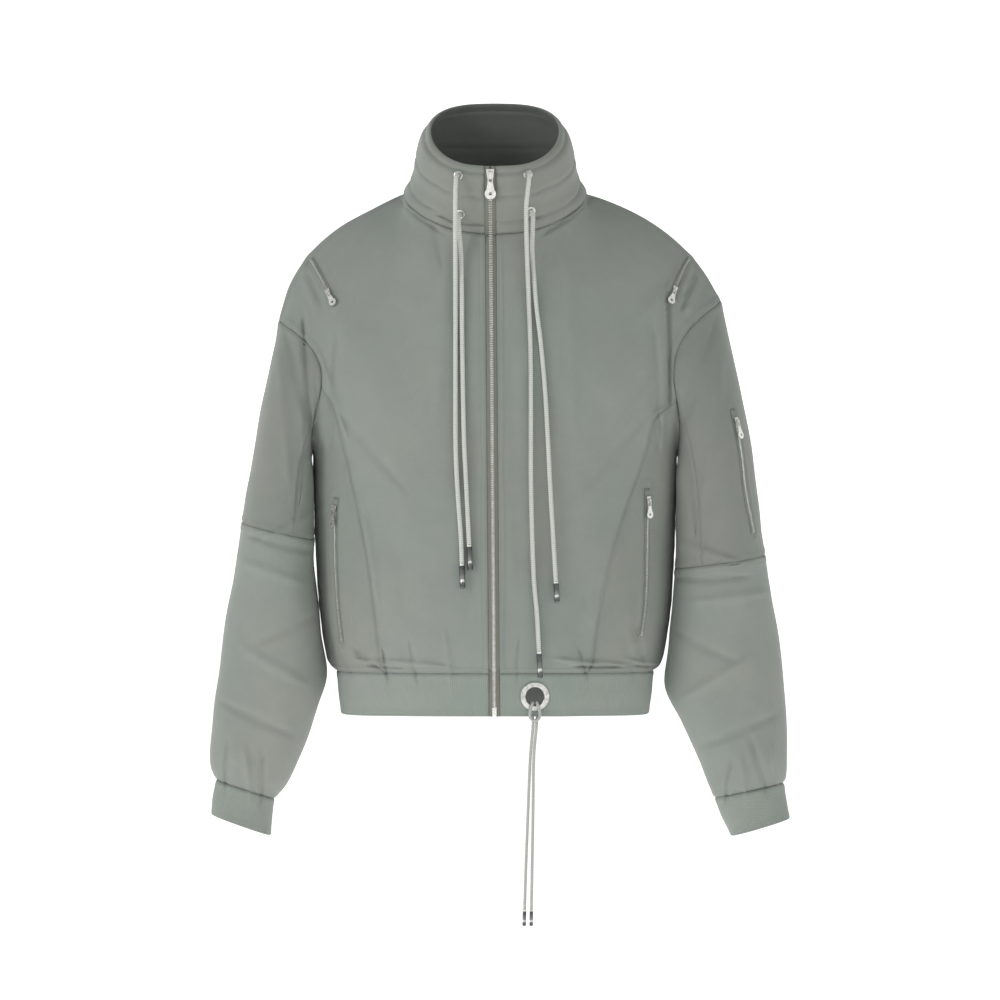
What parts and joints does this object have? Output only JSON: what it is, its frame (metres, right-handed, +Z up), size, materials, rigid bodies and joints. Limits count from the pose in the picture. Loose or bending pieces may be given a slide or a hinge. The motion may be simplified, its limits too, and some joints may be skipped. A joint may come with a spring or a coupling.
{
  "type": "sweat jacket",
  "caption": "Cropped zip-front sweat jacket with a funnel collar, drawcords, curved pocket zips and banded hem and cuffs, filled out as if worn.",
  "frame": {"origin": "the base of the neck, midway between the shoulders, where the wearer's shoulders hold the garment up", "axes": "+Z up, -Y to the garment's front, +X to the wearer's left"},
  "size_m": [0.7255, 0.2834, 1.0187],
  "materials": {
    "shell_cloth": "washed grey-green cotton sweat cloth, matte with a fine nap",
    "collar_cloth": "the same cloth, two layers with stitched cord channels",
    "band_cloth": "fine rib knit of the same colour, two layers",
    "zip_tape": "woven tape dyed to match",
    "tooth_metal": "nickel-coloured metal teeth",
    "pull_metal": "satin nickel with a worn edge",
    "eyelet_metal": "polished nickel",
    "cord": "round braided cotton cord, pale grey",
    "cord_tip_metal": "dark polished metal with a bright band"
  },
  "bodies": {
    "garment": {"back": "shell_cloth", "collar": "collar_cloth", "cord_hem_bight": "cord", "cord_hem_left": "cord", "cord_hem_right": "cord", "cord_lower_left": "cord", "cord_lower_right": "cord", "cord_upper_left": "cord", "cord_upper_right": "cord", "cuff_left": "band_cloth", "cuff_right": "band_cloth", "eyelet_hem": "eyelet_metal", "eyelet_lower_left": "eyelet_metal", "eyelet_lower_right": "eyelet_metal", "eyelet_upper_left": "eyelet_metal", "eyelet_upper_right": "eyelet_metal", "front_left": "shell_cloth", "front_right": "shell_cloth", "front_zip_box": "tooth_metal", "front_zip_chain": "tooth_metal", "front_zip_slider": "pull_metal", "front_zip_tape_left": "zip_tape", "front_zip_tape_right": "zip_tape", "hem_band": "band_cloth", "lower_sleeve_left": "shell_cloth", "lower_sleeve_right": "shell_cloth", "pocket_left_chain": "tooth_metal", "pocket_left_slider": "pull_metal", "pocket_left_tape": "zip_tape", "pocket_right_chain": "tooth_metal", "pocket_right_slider": "pull_metal", "pocket_right_tape": "zip_tape", "shoulder_left_chain": "tooth_metal", "shoulder_left_slider": "pull_metal", "shoulder_left_tape": "zip_tape", "shoulder_right_chain": "tooth_metal", "shoulder_right_slider": "pull_metal", "shoulder_right_tape": "zip_tape", "side_panel_left": "shell_cloth", "side_panel_right": "shell_cloth", "sleeve_zip_chain": "tooth_metal", "sleeve_zip_slider": "pull_metal", "sleeve_zip_tape": "zip_tape", "tip_hem_left": "cord_tip_metal", "tip_hem_right": "cord_tip_metal", "tip_lower_left": "cord_tip_metal", "tip_lower_right": "cord_tip_metal", "tip_upper_left": "cord_tip_metal", "tip_upper_right": "cord_tip_metal", "under_sleeve_left": "shell_cloth", "under_sleeve_right": "shell_cloth", "upper_sleeve_left": "shell_cloth", "upper_sleeve_right": "shell_cloth"},
    "front_zip_tab": {"front_zip_pull": "pull_metal"},
    "pocket_left_tab": {"pocket_left_pull": "pull_metal"},
    "pocket_right_tab": {"pocket_right_pull": "pull_metal"},
    "shoulder_left_tab": {"shoulder_left_pull": "pull_metal"},
    "shoulder_right_tab": {"shoulder_right_pull": "pull_metal"},
    "sleeve_tab": {"sleeve_zip_pull": "pull_metal"}
  },
  "joints": [
    {"name": "front_zip_tab_swing", "type": "hinge", "parent": "garment", "child": "front_zip_tab", "pos_m": [-0.00591, -0.10332, 0.05344], "axis": [-1, -0.0007, -0.0077], "range_deg": [0, 160]},
    {"name": "pocket_left_tab_swing", "type": "hinge", "parent": "garment", "child": "pocket_left_tab", "pos_m": [0.19225, -0.08673, -0.35215], "axis": [-0.75, -0.6613, -0.0117], "range_deg": [0, 160]},
    {"name": "pocket_right_tab_swing", "type": "hinge", "parent": "garment", "child": "pocket_right_tab", "pos_m": [-0.20173, -0.07872, -0.36353], "axis": [-0.6614, 0.7425, 0.1063], "range_deg": [0, 160]},
    {"name": "shoulder_left_tab_swing", "type": "hinge", "parent": "garment", "child": "shoulder_left_tab", "pos_m": [0.22512, -0.04675, -0.0907], "axis": [-0.8287, -0.2444, 0.5035], "range_deg": [0, 160]},
    {"name": "shoulder_right_tab_swing", "type": "hinge", "parent": "garment", "child": "shoulder_right_tab", "pos_m": [-0.20915, -0.04799, -0.09404], "axis": [-0.7684, 0.2253, -0.5991], "range_deg": [0, 160]},
    {"name": "sleeve_tab_swing", "type": "hinge", "parent": "garment", "child": "sleeve_tab", "pos_m": [0.30228, -0.06305, -0.25453], "axis": [-0.5935, -0.8019, -0.0679], "range_deg": [0, 160]}
  ]
}
